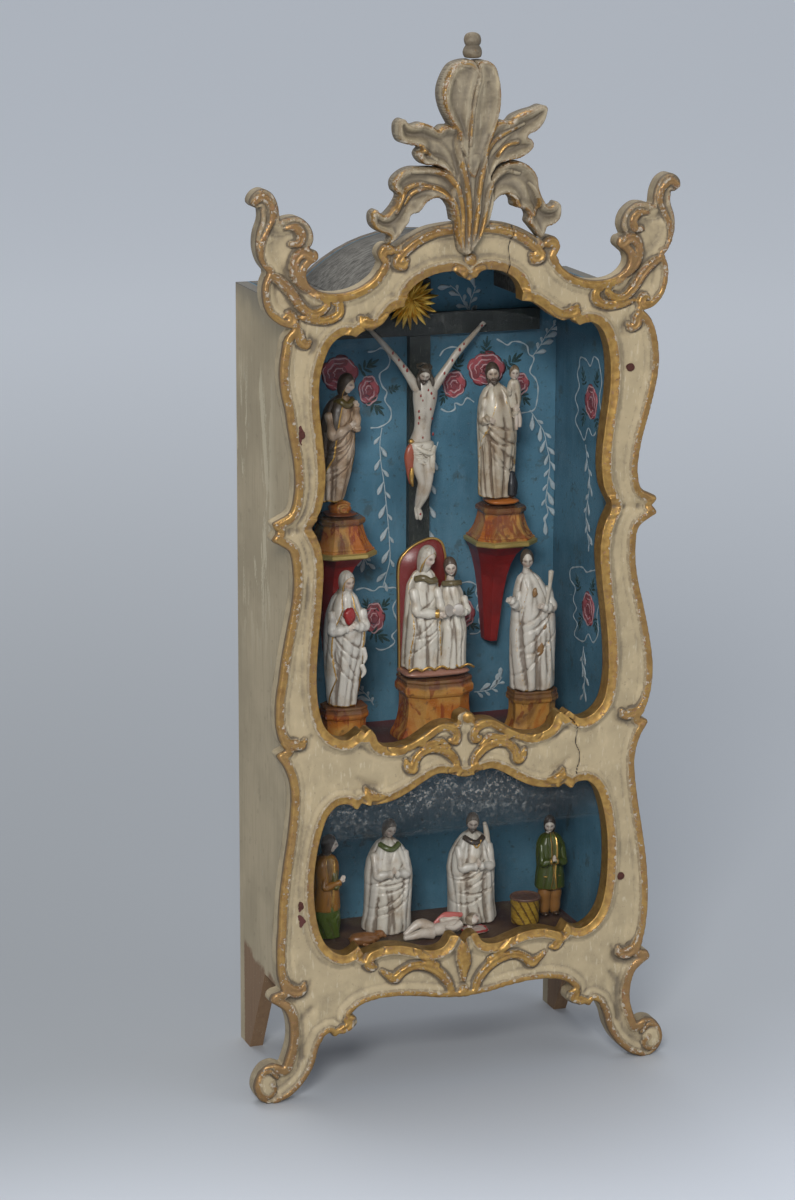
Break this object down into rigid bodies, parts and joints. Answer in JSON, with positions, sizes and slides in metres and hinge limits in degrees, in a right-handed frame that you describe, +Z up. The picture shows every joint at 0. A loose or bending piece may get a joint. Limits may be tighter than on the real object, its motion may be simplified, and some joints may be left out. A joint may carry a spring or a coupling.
{
  "type": "portable oratory",
  "caption": "Small glazed wooden case with a carved, painted and gilded face board, two niches of little painted figures, a leaf crest, barrel roof and an upper glass pane that slides up",
  "frame": {"origin": "on the floor, under the middle of the overall box", "axes": "+Z up, the glazed front faces -Y, +X to the right as seen from the front"},
  "size_m": [0.2516, 0.115, 0.5998],
  "materials": {
    "gilded_cream_wood": "aged cream paint over gesso, with gilded rims worn to red clay and white gesso",
    "cream_wood": "thin aged cream paint, dirty and blotched",
    "bare_wood": "weathered grey wood, dry",
    "blue_wood": "matt blue distemper with painted flowers",
    "brown_wood": "dark red-brown paint, dusty",
    "red_wood": "red paint, semi-matt",
    "marbled_wood": "marbled orange, red and brown paint with a varnish gloss",
    "black_wood": "dark green-black paint",
    "painted_stone": "pale soft stone, polished, with painted and gilded details",
    "coloured_stone": "pale soft stone painted green, brown and red",
    "yellow_stone": "stone painted yellow with brown strokes",
    "gilt_brass": "thin bright gilt foil",
    "forged_iron": "rusted forged iron",
    "old_glass": "thin old window glass, dusty in patches"
  },
  "bodies": {
    "case": {"face_board": "gilded_cream_wood", "face_nail_1": "forged_iron", "face_nail_2": "forged_iron", "face_nail_3": "forged_iron", "face_nail_4": "forged_iron", "crest": "gilded_cream_wood", "crest_knob": "bare_wood", "side_board_left": "cream_wood", "side_board_right": "cream_wood", "back_board": "blue_wood", "floor_board": "brown_wood", "middle_shelf": "brown_wood", "roof_vault": "bare_wood", "roof_shoulder_left": "bare_wood", "roof_shoulder_right": "bare_wood", "glass_lower": "old_glass", "bracket_upper_left": "red_wood", "pedestal_upper_left": "marbled_wood", "boss_upper_left": "marbled_wood", "figure_upper_left": "painted_stone", "bracket_upper_right": "red_wood", "pedestal_upper_right": "marbled_wood", "boss_upper_right": "marbled_wood", "figure_upper_right": "painted_stone", "pedestal_middle_left": "marbled_wood", "figure_middle_left": "painted_stone", "pedestal_middle_centre": "marbled_wood", "figure_middle_centre": "painted_stone", "pedestal_middle_right": "marbled_wood", "figure_middle_right": "painted_stone", "cross_upright": "black_wood", "cross_beam": "black_wood", "corpus": "painted_stone", "sunburst": "gilt_brass", "ground_mound": "brown_wood", "figure_kneeling_left": "coloured_stone", "figure_mother": "painted_stone", "figure_father": "painted_stone", "figure_shepherd": "coloured_stone", "pillow": "coloured_stone", "infant": "painted_stone", "basket": "yellow_stone", "resting_lamb": "coloured_stone"},
    "upper_pane": {"glass_upper": "old_glass"}
  },
  "joints": [
    {"name": "upper_pane_slide", "type": "slide", "parent": "case", "child": "upper_pane", "axis": [0, 0, 1], "range_m": [0, 0.026]}
  ]
}
